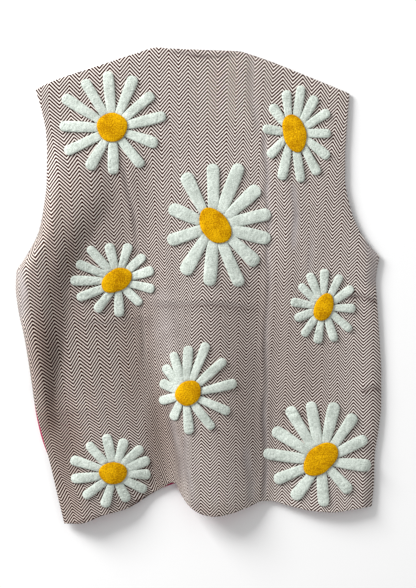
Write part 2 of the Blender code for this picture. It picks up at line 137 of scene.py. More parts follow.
# Inner edge of each front, hem to neck: share of the height, x and y. The middle row ends the V.
FRONT_EDGES = {
    "left": ((0.0, -31, -266), (0.65, -3, 62), (1.0, -62, 317.3)),
    "right": ((0.0, -20, -279), (0.65, 3, 62), (1.0, 60, 310.8)),
}

# Folds of the back: a ridge along a line that runs down the cloth, with a row for each station: y and
# x of the ridge, its height, and its width on the left and on the right
FOLD_COLUMNS = ("y", "x", "height", "left", "right")
FOLDS = {
    "left_roll": (
        (200, -168, 0, 60, 60), (115, -187, 11, 60, 75), (48, -213, 16, 60, 62),
        (-19, -232, 17, 60, 58), (-79, -229, 17, 60, 50), (-127, -225, 13, 60, 36),
        (-157, -222, 9, 60, 30), (-195, -212, 0, 60, 30),
    ),
    "left_swell": (
        (230, -165, 0, 90, 90), (115, -180, 7, 90, 120), (0, -225, 9, 90, 150),
        (-100, -220, 9, 90, 150), (-200, -200, 8, 90, 135), (-330, -175, 6, 90, 115),
    ),
    "left_hem": (
        (-150, -140, 0, 50, 80), (-205, -143, 4, 45, 85), (-260, -147, 8, 40, 88),
        (-330, -150, 10, 32, 84),
    ),
    "middle_crest": (
        (170, -34, 0, 70, 125), (110, -35, 3, 70, 127), (50, -41, 8, 62, 133),
        (-20, -38, 14, 54, 130), (-100, -26, 19, 46, 122), (-200, -14, 22, 42, 112),
        (-285, -8, 24, 36, 104), (-330, -7, 24, 34, 103),
    ),
    "right_plateau": (
        (235, 110, 0, 30, 120), (180, 111, 2, 30, 140), (120, 113, 2.5, 30, 150),
        (50, 119, 3, 34, 170), (-60, 132, 3.5, 45, 180), (-200, 152, 5, 62, 160),
        (-330, 173, 9, 82, 110),
    ),
}
# A fold falls late on its right side: the larger, the later
LATE_FALL = 1.7

# Creases of the back: both ends, height of the cloth beside the crease, its half width, how worn and grey
# the weave is along it, and how dark the painted shade at its edge is
CREASE_COLUMNS = ("x0", "y0", "x1", "y1", "height", "width", "worn", "dark")
CREASES = (
    (-165, -52, -64, -47, 1.8, 3.2, 0.05, 0.28),
    (-62, -24, 76, -28, 1.9, 3.2, 0.10, 0.55),
    (-180, -17, -120, -15, 1.2, 3.0, 0.05, 0.35),
    (196, -13, 240, -19, 2.8, 2.6, 0.10, 0.80),
    (-206, -172, -140, -168, 1.8, 3.2, 0.05, 0.22),
    (106, -168, 142, -174, 1.9, 2.6, 0.05, 0.70),
    (214, -139, 242, -137, 2.0, 2.8, 0.05, 0.75),
    (-40, 311, 44, 308, 0.8, 2.4, 0.15, 0.70),
    # These two rows, at the hem, raise no cloth: they are painted shadow under the lifted hem.
    (-98, -297, -40, -265, 0.0, 1.6, 0.0, 0.90),
    (-176, -317, -128, -306, 0.0, 1.6, 0.0, 0.60),
    (67, 308, 76, 205, 0.8, 5.0, 0.30, 0.20),
    (88, 205, 90, 120, 1.1, 3.5, 0.60, 0.35),
    (90, 130, 93, 20, 1.2, 3.2, 0.45, 0.45),
    (92, 20, 88, -150, 1.3, 3.2, 0.35, 0.45),
    (88, -140, 87, -286, 1.6, 3.4, 0.50, 0.50),
    (127, 134, 127, 50, 0.6, 4.0, 0.90, 0.15),
    (148, 66, 150, -8, 0.4, 4.0, 0.35, 0.10),
    (-100, 158, -82, 52, 1.5, 4.0, 0.10, 0.35),
    (-82, 56, -74, -110, 1.2, 4.0, 0.10, 0.15),
    (-38, -160, -22, -262, 0.9, 4.5, 0.40, 0.35),
    (-20, -200, -10, -292, 0.7, 3.5, 0.50, 0.30),
    (63, -215, 70, -290, 0.8, 5.0, 0.50, 0.20),
    (-54, -5, -42, -92, 0.3, 16.0, 0.35, 0.0),
    (228, 62, 237, -2, 0.8, 8.0, 0.80, 0.10),
    (-238, 22, -236, -42, 0.4, 5.0, 0.70, 0.15),
)
# How many half widths the swell beside a crease takes to fade
CREASE_SHOULDER = 2.6
# How far a crease sways from its straight line, and the share of its strength that varies along it, each
# with the radians of its wave over the crease's length
CREASE_SWAY = 1.6
CREASE_SWAY_WAVE = 7.0
CREASE_UNEVEN = 0.15
CREASE_UNEVEN_WAVE = 11.0
# Shares of a crease's length: how far past its ends it reaches, and how soon it is at full strength
CREASE_PAST = 0.1
CREASE_FADE = 0.25
# How many half widths off a crease its painted shade lies, and how narrow that shade is
DARK_OFF = 0.8
DARK_NARROW = 1.5

# Two waves, across and up: radians to a millimetre, how many radians each sways, and the radians to a
# millimetre of that sway. The first two are the slack of cloth that isn't pressed, with half its height,
# and the others the tufts of a disc, with their share of the pile.
SLACK_WAVES = ((1 / 17, 1.3, 1 / 41), (1 / 23, 0.8, 1 / 37))
SLACK = 0.22
TUFT_WAVES = ((1.9, 2.0, 0.9), (2.1, 2.0, 0.8))
TUFT_SHARE = 0.5

# The weave. A line between two columns of the herringbone is numbered, and even numbers are peaks.
# Each row of the chart is a height, and x of each of those lines there.
WEAVE_LINES = (-18, -14, -10, -8, -4, -2, 1, 4, 9, 12, 16, 20)
WEAVE_CHART = (
    (302, -245, -201, -149, -121, -68, -42, -3, 37, 99, 138, 189, 240),
    (248, -244, -202, -147, -119, -67, -41, -3, 36, 96, 137, 185, 233),
    (141, -239, -188, -132, -107, -62, -38, -4, 35, 89, 123, 171, 217),
    (60, -234, -181, -127, -102, -58, -38, -5, 32, 92, 126, 165, 212),
    (-47, -223, -168, -114, -90, -54, -35, -11, 27, 88, 120, 164, 206),
    (-127, -209, -157, -105, -82, -48, -34, -12, 27, 82, 115, 163, 205),
    (-208, -198, -144, -94, -70, -34, -27, -10, 25, 81, 111, 161, 205),
    (-288, -176, -129, -84, -60, -31, -24, -11, 25, 80, 110, 162, 204),
)
COLUMN_WIDTH = 13.0
# How far the rows of the weave sink at each of these x, a line for each height
SINK_AT = (-230, -188, -147, -94, -40, 20, 67, 120, 174, 230)
SINK_CHART = (
    (181, -13, -8, -5, -2, 0, 0, -4, -10, -16, -21),
    (74, -17, -13, -10, -6, -3, 0, -1, -6, -11, -17),
    (-33, -25, -17, -9, -2, 1, 0, -2, -6, -9, -12),
    (-154, -42, -32, -24, -13, -4, 0, 2, -1, -7, -8),
    (-268, -34, -27, -20, -9, -2, 0, 2, -3, -12, -12),
)
# How close together the rows of the weave are, by height
ROW_DENSITY = ((330, 0.91), (181, 0.93), (74, 0.965), (-33, 1.05), (-154, 1.06), (-330, 1.13))
# Cloth whose length is more than this many times its width from above takes more columns
STEEP = 1.5
YARNS_PER_COLUMN = 12
YARN_PITCH = 1.15
# How much the twill lines step from yarn to yarn, and how many yarns of each repeat show light
STEP_SHARE = 0.25
REPEAT_YARNS = 4.0
LIGHT_YARNS = 1.53

# Painted shade: patches of the back darkened where the light falls less, on its slopes, at the hem and
# over its left side: middle, reach across and up, and how much darker
PAINTED_SHADE_COLUMNS = ("x", "y", "reach_x", "reach_y", "darker")
PAINTED_SHADE = (
    (-130, -30, 135, 340, 0.26),
    (-198, 20, 50, 150, 0.16),
    (-214, -125, 38, 110, 0.34),
    (-78, -80, 36, 150, 0.16),
    (-46, -225, 36, 130, 0.44),
    (85, -115, 130, 190, 0.24),
    (150, 70, 60, 120, 0.06),
    (20, -325, 190, 42, 0.24),
    (-188, -255, 50, 130, 0.40),
    (-110, -320, 90, 60, 0.20),
)
# What the cloth's colour is multiplied by in the painted shade of the back, and in the painted shade at a
# crease's edge
PAINTED_SHADE_TINTS = {"painted_shade": (0.20, 0.09, 0.04), "crease": (0.16, 0.08, 0.075)}

# Daisies, as in the part: centre of the disc, its two radii and the tilt of the longer one, middle
# of the petals from it, their reach across and up, half width of a petal, direction of the first
# petal, and where and how much the petals crowd together (degrees)
DAISY_COLUMNS = (
    "x", "y", "disc_long", "disc_short", "tilt", "shift_x", "shift_y", "reach_x", "reach_y",
    "petal", "first", "crowd_at", "crowd",
)
DAISIES = {
    "left_shoulder": (-117.5, 211, 20.4, 19.6, 0, -1.7, 5.6, 71.7, 69.5, 7.4, 94, 75, 2),
    "right_shoulder": (126.4, 203, 26.0, 15.4, 104, 4.3, -2.7, 46.2, 65.0, 6.5, 88, 30, 8),
    "middle": (20.1, 79, 26.6, 18.2, 127, 4.7, 1.3, 70.4, 85.8, 9.0, 104, 0, 8),
    "left_waist": (-111.2, 6.3, 22.0, 14.7, 30, -5.0, 2.0, 56.3, 49.6, 6.4, 68, 90, 6),
    "right_waist": (165.5, -30, 19.4, 12.3, 68, 0.7, 0.8, 43.6, 50.3, 5.8, 84, 150, 6),
    "low_middle": (-15.7, -144, 18.4, 15.8, 40, 12.3, 6.2, 51.6, 60.3, 6.4, 90, 150, 14),
    "left_hem": (-115.8, -251, 18.8, 14.8, 0, -3.5, 2.8, 55.0, 47.6, 6.6, 106, 30, 10),
    "right_hem": (161.1, -232.6, 27.2, 17.4, 42, -3.4, 8.2, 70.6, 70.4, 8.0, 98, 105, 8),
}
PETALS = 12
# Where a petal starts, as a share of the disc's radius
HUB_SHARE = 0.82
# Small differences between petals, which follow waves over their numbers: how much, and the radians from
# petal to petal and from daisy to daisy. Turns are in degrees, the rest in shares of a length or a width.
UNEVEN_COLUMNS = ("amount", "petal_step", "daisy_step")
UNEVEN = {
    "turn": (1.5, 5.1, 1.7),
    "reach": (0.04, 3.7, 2.3),
    "width": (0.06, 2.1, 1.0),
    "bend": (0.025, 2.9, 1.3),
}
# Radians of the wave in a petal's width along it
WIDTH_WAVE = 4.0
PETAL_STATIONS = 42
PETAL_COLUMNS = 15
PETAL_THICKNESS = 3.0
PETAL_LIFT = 0.35
# Height of a petal's edge over its underside
PETAL_EDGE = 0.3
# Length of a petal's round end in half widths, and the least share of the width there
PETAL_END = 0.9
LEAST_WIDTH = 0.02
# Powers that shape a petal: spacing of its rows, squareness of its end, how late the end gets thin, and
# fullness of its section across and up
ROW_POWER = 0.9
END_POWER = 2.2
THIN_POWER = 0.8
ACROSS_POWER = 0.85
DOME_POWER = 0.5
# Height of the pile, and the shares of it at a petal's sides and in the direction across the petal
PILE = 0.3
PILE_AT_SIDES = 0.3
PILE_ACROSS = 0.5
FIRST_SEED = 40
# Along a petal: share of its length, share of its half width, share of its thickness
PETAL_PROFILE = (
    (0.0, 0.68, 0.5), (0.2, 0.83, 0.75), (0.45, 0.93, 0.95), (0.75, 1.0, 1.0), (1.0, 0.95, 1.0),
)
DISC_LIFT = 2.7
DISC_THICKNESS = 3.4
# Heights over a disc's underside of the rim where its dome starts and of its outermost edge
DISC_RIM = 0.8
DISC_EDGE = 0.5
DISC_DOME_POWER = 0.75
DISC_RINGS = 14
DISC_SIDES = 72
# Waves round a disc's edge: how many, their share of the radius, and the radians from daisy to daisy
DISC_WAVES = ((3, 0.02, 1), (5, 0.015, 2))

# Cells of the fine shells: how far in from an edge the first rows lie, and the rows and columns
EDGE_STEPS = (0.0, 0.25, 0.6, 1.0, 1.8, 3.2)
BACK_CELLS = (236, 184)
BACK_LINING_CELLS = (150, 110)
FRONT_CELLS = (170, 70)
FRONT_LINING_CELLS = (140, 50)
# About the width of the back, which turns distances from its sides into shares
WIDTH = 470.0

# Surfaces: roughness, sheen, specular level, grain of the fibre and depth of its relief in millimetres,
# and how strongly the relief shows
FINISH_COLUMNS = ("roughness", "sheen", "specular", "grain", "depth", "relief")
FINISHES = {
    "herringbone_tweed": (0.92, 0.05, 0.15, 0.9, 0.2, 0.35),
    "crimson_lining": (0.5, 0.0, 0.15, 0.5, 0.1, 0.3),
    "petal_wool": (0.95, 0.25, 0.15, 1.6, 0.6, 0.6),
    "disc_wool": (0.95, 0.0, 0.03, 1.5, 0.6, 0.6),
}
SHEEN_ROUGHNESS = 0.5
# Colours: two tones of the fibre, and the colour at each
COLOUR_COLUMNS = ("low_tone", "high_tone", "dark", "light")
COLOURS = {
    "cream_warp": (0.35, 0.65, (0.86, 0.79, 0.73, 1), (0.96, 0.89, 0.83, 1)),
    "brown_weft": (0.35, 0.65, (0.026, 0.005, 0.003, 1), (0.046, 0.011, 0.007, 1)),
    "worn_grey": (0.35, 0.65, (0.22, 0.19, 0.19, 1), (0.44, 0.41, 0.41, 1)),
    "crimson_lining": (0.3, 0.7, (0.43, 0.028, 0.100, 1), (0.57, 0.050, 0.150, 1)),
    "petal_wool": (0.38, 0.62, (0.42, 0.47, 0.42, 1), (0.70, 0.765, 0.70, 1)),
    "disc_wool": (0.40, 0.60, (0.40, 0.17, 0.001, 1), (0.80, 0.44, 0.003, 1)),
}
# The fibre's tone: share of the fine grain in it, and patches of the rest to a metre
FINE_SHARE = 0.7
PATCHES = 60.0
# How high the tweed's fibre stands, as a share of a yarn's height
YARN_HAIR = 0.6

# The floor, which lies a gap in millimetres under the cloth, the light from all round, and the main
# light. The other lengths are in metres and the power is in watts.
FLOOR_GAP = 0.2
FLOOR_REACH = 3.0
FLOOR_COLOUR = (0.93, 0.93, 0.93, 1)
FLOOR_ROUGHNESS = 0.9
SKY_STRENGTH = 0.55
KEY_PLACE = (-2.35, 2.0, 1.5)
KEY_SIZE = 1.6
KEY_POWER = 172

# The camera looks straight down on the middle of the photograph, a place in the drawing. Its height and
# the height from which faces are looked for are in metres.
IMAGE_HEIGHT = 588
MM_PER_PIXEL = 1.34
CAMERA_OVER = (10.72, -12.06)
CAMERA_HEIGHT = 5.0
SENSOR = 24.0
LOOK_DOWN_FROM = 0.5


def smooth_line(points):
    """A function of an array, through (x, y) points, that doesn't overshoot them."""
    xs, ys = (np.array(column, float) for column in zip(*sorted(points)))
    steps = np.diff(xs)
    secants = np.diff(ys) / steps
    slopes = np.concatenate((secants[:1], np.zeros(len(xs) - 2), secants[-1:]))
    before, after = secants[:-1], secants[1:]
    far, near = 2 * steps[1:] + steps[:-1], steps[1:] + 2 * steps[:-1]
    same = before * after > 0
    slopes[1:-1][same] = (far + near)[same] / (far[same] / before[same] + near[same] / after[same])

    def at(x):
        x = np.clip(x, xs[0], xs[-1])
        i = np.clip(np.searchsorted(xs, x, "right") - 1, 0, len(steps) - 1)
        share = (x - xs[i]) / steps[i]
        start = ys[i] * (1 + 2 * share) + slopes[i] * steps[i] * share
        end = ys[i + 1] * (3 - 2 * share) + slopes[i + 1] * steps[i] * (share - 1)
        return start * (1 - share) ** 2 + end * share**2

    return at


def ease(share):
    """0 to 1 with level ends."""
    share = np.clip(share, 0.0, 1.0)
    return share * share * (3 - 2 * share)


def between(a, b, share):
    """The value at a share of the way from a to b."""
    return a + (b - a) * share


# The sections of the garment, hem to shoulder: y of their middles, and their shares of the height
MIDDLES = [(left[1] + right[1]) / 2 for left, right in zip(LEFT_SIDE, RIGHT_SIDE)]
HEIGHT = MIDDLES[-1] - MIDDLES[0]
SECTION_UPS = [(middle - MIDDLES[0]) / HEIGHT for middle in MIDDLES]


def side_line(rows, column):
    """A column of a side table as a function of the share of the height, with a corner at the underarm."""
    points = [(up, row[column]) for up, row in zip(SECTION_UPS, rows)]
    below = smooth_line(points[: UNDERARM + 1])
    above = smooth_line(points[UNDERARM:])
    return lambda up: np.where(up <= SECTION_UPS[UNDERARM], below(up), above(up))


SIDES = {
    side: {column: side_line(rows, c) for c, column in enumerate(SIDE_COLUMNS)}
    for side, rows in (("left", LEFT_SIDE), ("right", RIGHT_SIDE))
}
HEM_LINE = smooth_line(HEM)
TOP_LINE = smooth_line(TOP)
FOLD_LINES = [
    {
        column: smooth_line([(row[0], row[c]) for row in rows])
        for c, column in enumerate(FOLD_COLUMNS) if column != "y"
    }
    for rows in FOLDS.values()
]


def folds(x, y):
    """Height of the back's large folds over its lowest face."""
    height = np.zeros_like(x)
    for fold in FOLD_LINES:
        away = x - fold["x"](y)
        near = ease(1 + away / fold["left"](y))
        far = 1 - ease(np.clip(away / fold["right"](y), 0, 1) ** LATE_FALL)
        height += fold["height"](y) * np.where(away < 0, near, far)
    return height


def along_crease(crease, x, y):
    """How far places are off a crease in half widths, and how strong it is there, from 0 to 1."""
    dx, dy = crease["x1"] - crease["x0"], crease["y1"] - crease["y0"]
    length = math.hypot(dx, dy)
    along = ((x - crease["x0"]) * dx + (y - crease["y0"]) * dy) / length**2
    off = ((y - crease["y0"]) * dx - (x - crease["x0"]) * dy) / length
    off += CREASE_SWAY * np.sin(CREASE_SWAY_WAVE * along + crease["x0"])
    strength = ease((along + CREASE_PAST) / CREASE_FADE) * ease((1 - along + CREASE_PAST) / CREASE_FADE)
    strength *= 1 - CREASE_UNEVEN * (1 - np.sin(CREASE_UNEVEN_WAVE * along + crease["y0"]))
    return off / crease["width"], strength


def creases(x, y):
    """Height of the cloth beside the creases, whose bottoms stay down."""
    height = np.zeros_like(x)
    for row in CREASES:
        crease = dict(zip(CREASE_COLUMNS, row))
        off, strength = along_crease(crease, x, y)
        swell = np.exp(-((off / CREASE_SHOULDER) ** 2)) - np.exp(-(off**2))
        height += crease["height"] * strength * swell
    return height


def crease_marks(x, y):
    """How worn the weave is along the creases, and how dark the painted shade at their edges is, from 0 to
    1.
    """
    fresh, bright = np.ones_like(x), np.ones_like(x)
    for row in CREASES:
        crease = dict(zip(CREASE_COLUMNS, row))
        off, strength = along_crease(crease, x, y)
        fresh *= 1 - crease["worn"] * strength * np.exp(-(off**2))
        # Painted shade at the edge of each crease.
        bright *= 1 - crease["dark"] * strength * np.exp(-DARK_NARROW * (off + DARK_OFF) ** 2)
    return 1 - fresh, 1 - bright


def swaying_waves(waves, x, y, start=0.0):
    """A wave across and a wave up, each of which sways with the other direction."""
    (rate_x, sway_x, sway_rate_x), (rate_y, sway_y, sway_rate_y) = waves
    across = np.sin(x * rate_x + sway_x * np.sin(y * sway_rate_x + start))
    up = np.sin(y * rate_y + sway_y * np.sin(x * sway_rate_y - start))
    return across, up


def slack(x, y):
    """Small unevenness of cloth that isn't pressed."""
    across, up = swaying_waves(SLACK_WAVES, x, y)
    return SLACK * (1 + across * up)


def rolled(inner, edge, distance):
    """Height at a distance in from an edge, where the cloth rolls from inner to the edge's height."""
    share = np.clip(distance / ROLL, 0, 1)
    return edge + (inner - edge) * (1 - (1 - share) ** 2)


def top_edge_height(x, open_height):
    """Height of the top edge: the shoulder seams, and the open neck between them."""
    from_neck = np.minimum(x - NECK[0], NECK[1] - x)
    return between(SHOULDER_SEAM, open_height, ease(from_neck / ROLL))


def near_hem(up, power):
    """1 at the hem, falling to 0 where the rows no longer bend with it."""
    return np.clip(1 - up / HEM_BEND, 0, 1) ** power


def near_top(up, power):
    """1 at the top edge, falling to 0 where the rows no longer bend with it."""
    return np.clip(1 - (1 - up) / NECK_BEND, 0, 1) ** power


def back_face(share, up):
    """Points of the face under the back, at shares of its width and height."""
    left, right = SIDES["left"], SIDES["right"]
    x = between(left["x"](up), right["x"](up), share)
    hem_x = between(left["x"](0.0), right["x"](0.0), share)
    hem_bow = HEM_LINE(hem_x) - between(left["y"](0.0), right["y"](0.0), share)
    top_x = between(left["x"](1.0), right["x"](1.0), share)
    top_bow = TOP_LINE(top_x) - between(left["y"](1.0), right["y"](1.0), share)
    y = between(left["y"](up), right["y"](up), share)
    y += hem_bow * near_hem(up, BACK_BEND_POWER) + top_bow * near_top(up, BACK_BEND_POWER)
    from_left, from_right = x - left["x"](up), right["x"](up) - x
    from_top = TOP_LINE(top_x) - y
    z = BACK_FACE + folds(x, y) + creases(x, y) + slack(x, y)
    z = rolled(z, left["back_z"](up), from_left)
    z = rolled(z, right["back_z"](up), from_right)
    z = rolled(z, top_edge_height(top_x, NECK_EDGE), from_top)
    return np.stack((x, y, z), axis=-1)


def front_face(side, share, up):
    """Points of the face over a front, at shares of its height and of the way from side to inner edge."""
    line, inner = SIDES[side], np.array(FRONT_EDGES[side])
    outward = -1 if side == "left" else 1
    inner_x = np.interp(up, inner[:, 0], inner[:, 1])
    inner_y = np.interp(up, inner[:, 0], inner[:, 2])
    side_x = line["x"](up) + outward * line["past"](up)
    x = between(side_x, inner_x, share)
    y = between(line["y"](up), inner_y, share)
    shoulder_bow = TOP_LINE(x) - between(line["y"](1.0), inner[-1, 2], share)
    y += shoulder_bow * near_top(up, FRONT_BEND_POWER)
    y += FRONT_HEM_RISE * near_hem(up, FRONT_BEND_POWER)
    z = rolled(FRONT_FACE, line["front_z"](up), abs(x - line["x"](up)))
    rolled_top = rolled(z, top_edge_height(x, FRONT_FACE), TOP_LINE(x) - y)
    z = np.where(up > 1 - NECK_BEND, rolled_top, z)
    return np.stack((x, y, z), axis=-1)


def shares(count, length, start=0.0, end=1.0, corners=()):
    """Shares of a length from start to end, close together at both ends, with a row at each corner."""
    steps = np.array(EDGE_STEPS) / length
    inner = np.linspace(start + steps[-1], end - steps[-1], count - 2 * len(EDGE_STEPS) + 2)
    for corner in corners:
        inner[np.argmin(abs(inner - corner))] = corner
    return np.concatenate((start + steps[:-1], inner, end - steps[-2::-1]))


def upward_normals(face):
    """Upward unit normals of a grid of points."""
    normals = np.cross(np.gradient(face, axis=1), np.gradient(face, axis=0))
    normals /= np.linalg.norm(normals, axis=-1, keepdims=True)
    return normals * np.sign(normals[..., 2:])


def chart_lines(chart, count, y):
    """The chart's columns at some heights, one array for each."""
    return [smooth_line([(row[0], row[c + 1]) for row in chart])(y) for c in range(count)]


def weave_lines(x, y):
    """Number of the weave's column line at points of the back, with shares between two lines."""
    lines = chart_lines(WEAVE_CHART, len(WEAVE_LINES), y)
    number = WEAVE_LINES[0] + (x - lines[0]) / COLUMN_WIDTH
    for i, (low, high) in enumerate(zip(lines, lines[1:])):
        step = WEAVE_LINES[i + 1] - WEAVE_LINES[i]
        inside = WEAVE_LINES[i] + step * (x - low) / (high - low)
        number = np.where(x >= low, inside, number)
    return np.where(x >= lines[-1], WEAVE_LINES[-1] + (x - lines[-1]) / COLUMN_WIDTH, number)


def weave_rows(x, y):
    """Millimetres up the warp at points of the back."""
    heights = np.arange(min(ROW_DENSITY)[0], max(ROW_DENSITY)[0] + 1.0)
    density = np.interp(heights, *zip(*sorted(ROW_DENSITY)))
    rows = np.interp(y, heights, np.cumsum(density) - np.sum(density[heights < 0]))
    sinks = chart_lines(SINK_CHART, len(SINK_AT), y)
    sink = sinks[0]
    for low_x, high_x, low, high in zip(SINK_AT, SINK_AT[1:], sinks, sinks[1:]):
        inside = between(low, high, np.clip((x - low_x) / (high_x - low_x), 0, 1))
        sink = np.where(x >= low_x, inside, sink)
    return rows - sink


def steep_length(face):
    """Length that steep cloth has and the view from above hides, across a grid from its middle."""
    steps = np.diff(face, axis=1)
    hidden = np.clip(np.linalg.norm(steps, axis=-1) - STEEP * abs(steps[..., 0]), 0, None)
    total = np.pad(np.cumsum(hidden, axis=1), ((0, 0), (1, 0)))
    return total - total[:, total.shape[1] // 2, None]


def back_weave(face):
    """Weave coordinates on the back: number of the column line, and millimetres up the warp."""
    x, y = face[..., 0], face[..., 1]
    return np.stack((weave_lines(x, y) + steep_length(face) / COLUMN_WIDTH, weave_rows(x, y)), axis=-1)


def painted_shade_at(points):
    """How dark the painted shade is at points of the back, from 0 to 1."""
    shade = np.zeros(len(points))
    for row in PAINTED_SHADE:
        painted_shade = dict(zip(PAINTED_SHADE_COLUMNS, row))
        off = ((points[:, 0] - painted_shade["x"]) / painted_shade["reach_x"]) ** 2
        off += ((points[:, 1] - painted_shade["y"]) / painted_shade["reach_y"]) ** 2
        shade += painted_shade["darker"] * (1 - ease(off))
    return shade


def plain_weave(points):
    """Weave coordinates on flat cloth."""
    return np.stack((points[..., 0] / COLUMN_WIDTH, points[..., 1]), axis=-1)


def add_piece(name, points, faces, weave, finish, node):
    """A piece of the object from points in millimetres of the drawing, in place of a CAD node."""
    mesh = bpy.data.meshes.new(name)
    mesh.from_pydata(((points + SHIFT) * MM).tolist(), [], faces.tolist())
    mesh.shade_smooth()
    mesh.materials.append(finish)
    corners = np.empty(len(mesh.loops), int)
    mesh.loops.foreach_get("vertex_index", corners)
    layer = mesh.uv_layers.new(name="weave")
    layer.uv.foreach_set("vector", weave[corners].astype(np.float32).ravel())
    points = points.astype(float)
    # The painted shade of the back, the painted shade at the creases' edges and the worn places go to
    # attributes of the piece.
    worn, dark = crease_marks(points[:, 0], points[:, 1])
    shades = {"painted_shade": painted_shade_at(points), "crease": dark, "worn": worn}
    for attribute, values in shades.items():
        layer = mesh.attributes.new(attribute, "FLOAT", "POINT")
        layer.data.foreach_set("value", values.astype(np.float32))
    obj = bpy.data.objects.new(name, mesh)
    bpy.context.scene.collection.objects.link(obj)
    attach(obj, "root")
    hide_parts(node)
    return obj


def closed_grid(above, below):
    """Points and faces of a closed shell from two grids of points that share their border."""
    rows, columns = above.shape[:2]
    count = rows * columns
    upper = np.arange(count).reshape(rows, columns)
    lower = upper.copy()
    lower[1:-1, 1:-1] = count + np.arange((rows - 2) * (columns - 2)).reshape(rows - 2, columns - 2)
    points = np.concatenate((above.reshape(-1, 3), below[1:-1, 1:-1].reshape(-1, 3)))
    quads = [
        np.stack((grid[:-1, :-1], grid[:-1, 1:], grid[1:, 1:], grid[1:, :-1]), axis=-1).reshape(-1, 4)
        for grid in (upper, lower)
    ]
    return points, np.concatenate((quads[0], quads[1][:, ::-1]))


def border_distance(face):
    """Least distance of each point of a grid from the grid's border, along its rows and columns."""
    across = np.linalg.norm(np.diff(face, axis=1), axis=-1)
    along = np.linalg.norm(np.diff(face, axis=0), axis=-1)
    start_x = np.pad(np.cumsum(across, axis=1), ((0, 0), (1, 0)))
    start_y = np.pad(np.cumsum(along, axis=0), ((1, 0), (0, 0)))
    from_x = np.minimum(start_x, start_x[:, -1:] - start_x)
    from_y = np.minimum(start_y, start_y[-1:] - start_y)
    return np.minimum(from_x, from_y)


def add_cloth(name, face, low, high, finish, weave_of):
    """A thin closed shell of cloth with round edges, between two distances from a face."""
    normals = upward_normals(face)
    middle = face + normals * (low + high) / 2
    half = (high - low) / 2
    inward = np.clip(border_distance(face) / half, 0, 1)[..., None]
    round_edge = normals * half * np.sqrt(1 - (1 - inward) ** 2)
    points, faces = closed_grid(middle + round_edge, middle - round_edge)
    weave = weave_of(face).reshape(-1, 2)
    rows, columns = face.shape[:2]
    inner = weave.reshape(rows, columns, 2)[1:-1, 1:-1].reshape(-1, 2)
    weave = np.concatenate((weave, inner))
    return add_piece(f"{name}_cloth", points, faces, weave, finish, name)


def add_back(tweed, lining):
    """The back and its lining."""
    corners = (SECTION_UPS[UNDERARM],)
    rows = shares(BACK_CELLS[0], HEIGHT, corners=corners)
    columns = shares(BACK_CELLS[1], WIDTH)
    up, share = np.meshgrid(rows, columns, indexing="ij")
    face = back_face(share, up)
    back = add_cloth("back", face, HALF_GAP, HALF_GAP + TWEED, tweed, back_weave)
    start, end = HEM_SETBACK / HEIGHT, 1 - LINING_SETBACK / HEIGHT
    rows = shares(BACK_LINING_CELLS[0], HEIGHT, start, end, corners)
    setback = LINING_SETBACK / WIDTH
    columns = shares(BACK_LINING_CELLS[1], WIDTH, setback, 1 - setback)
    up, share = np.meshgrid(rows, columns, indexing="ij")
    face = back_face(share, up)
    add_cloth("back_lining", face, -HALF_GAP - LINING, -HALF_GAP, lining, plain_weave)
    return back


def add_front(side, tweed, lining):
    """A front and its lining, which reaches the side where the front shows past the back."""
    width = WIDTH / 2
    rows = shares(FRONT_CELLS[0], HEIGHT, corners=(SECTION_UPS[UNDERARM],))
    columns = shares(FRONT_CELLS[1], width)
    up, share = np.meshgrid(rows, columns, indexing="ij")
    face = front_face(side, share, up)
    add_cloth(f"{side}_front", face, -HALF_GAP - TWEED, -HALF_GAP, tweed, plain_weave)
    rows = shares(FRONT_LINING_CELLS[0], HEIGHT, 0.0, 1 - LINING_ENDS / HEIGHT)
    columns = shares(FRONT_LINING_CELLS[1], width)
    up, share = np.meshgrid(rows, columns, indexing="ij")
    shown = ease(SIDES[side]["past"](up) / LINING_SHOWN)
    start = between(ROLL / width, 0.0, shown)
    face = front_face(side, between(start, 1.0, share), up)
    add_cloth(f"{side}_front_lining", face, HALF_GAP, HALF_GAP + LINING, lining, plain_weave)


class Ground:
    """The upper face of a piece, for what lies on it. Places are in millimetres of the drawing."""

    def __init__(self, obj):
        points = [v.co for v in obj.data.vertices]
        polygons = [tuple(p.vertices) for p in obj.data.polygons]
        self.tree = BVHTree.FromPolygons(points, polygons)

    def heights(self, places):
        """Height of the face at places, and the least of these heights where one is past its edge."""
        found = []
        for x, y in places.reshape(-1, 2):
            above = Vector(((x + SHIFT[0]) * MM, (y + SHIFT[1]) * MM, LOOK_DOWN_FROM))
            hit = self.tree.ray_cast(above, Vector((0, 0, -1)))[0]
            found.append(hit.z / MM if hit else np.nan)
        found = np.array(found).reshape(places.shape[:-1])
        return np.where(np.isnan(found), np.nanmin(found), found)


def uneven(what, number, order, along=0.0):
    """A small difference of a petal, from its number and its daisy's."""
    row = dict(zip(UNEVEN_COLUMNS, UNEVEN[what]))
    return row["amount"] * np.sin(along + row["petal_step"] * number + row["daisy_step"] * order)


def petal_angles(daisy, order):
    """Directions of a daisy's petals in radians, crowded on one side and a little uneven."""
    number = np.arange(PETALS)
    turn = daisy["first"] + 360 * number / PETALS
    turn = turn - daisy["crowd"] * np.sin(np.radians(turn - daisy["crowd_at"]))
    return np.radians(turn + uneven("turn", number, order))


def disc_edge(daisy, angle, scale):
    """Points of the disc's edge, scaled about its centre, in the directions of some angles."""
    tilt = math.radians(daisy["tilt"])
    along, side = np.cos(angle - tilt), np.sin(angle - tilt)
    radius = scale / np.hypot(along / daisy["disc_long"], side / daisy["disc_short"])
    return np.stack((daisy["x"] + radius * np.cos(angle), daisy["y"] + radius * np.sin(angle)), axis=-1)


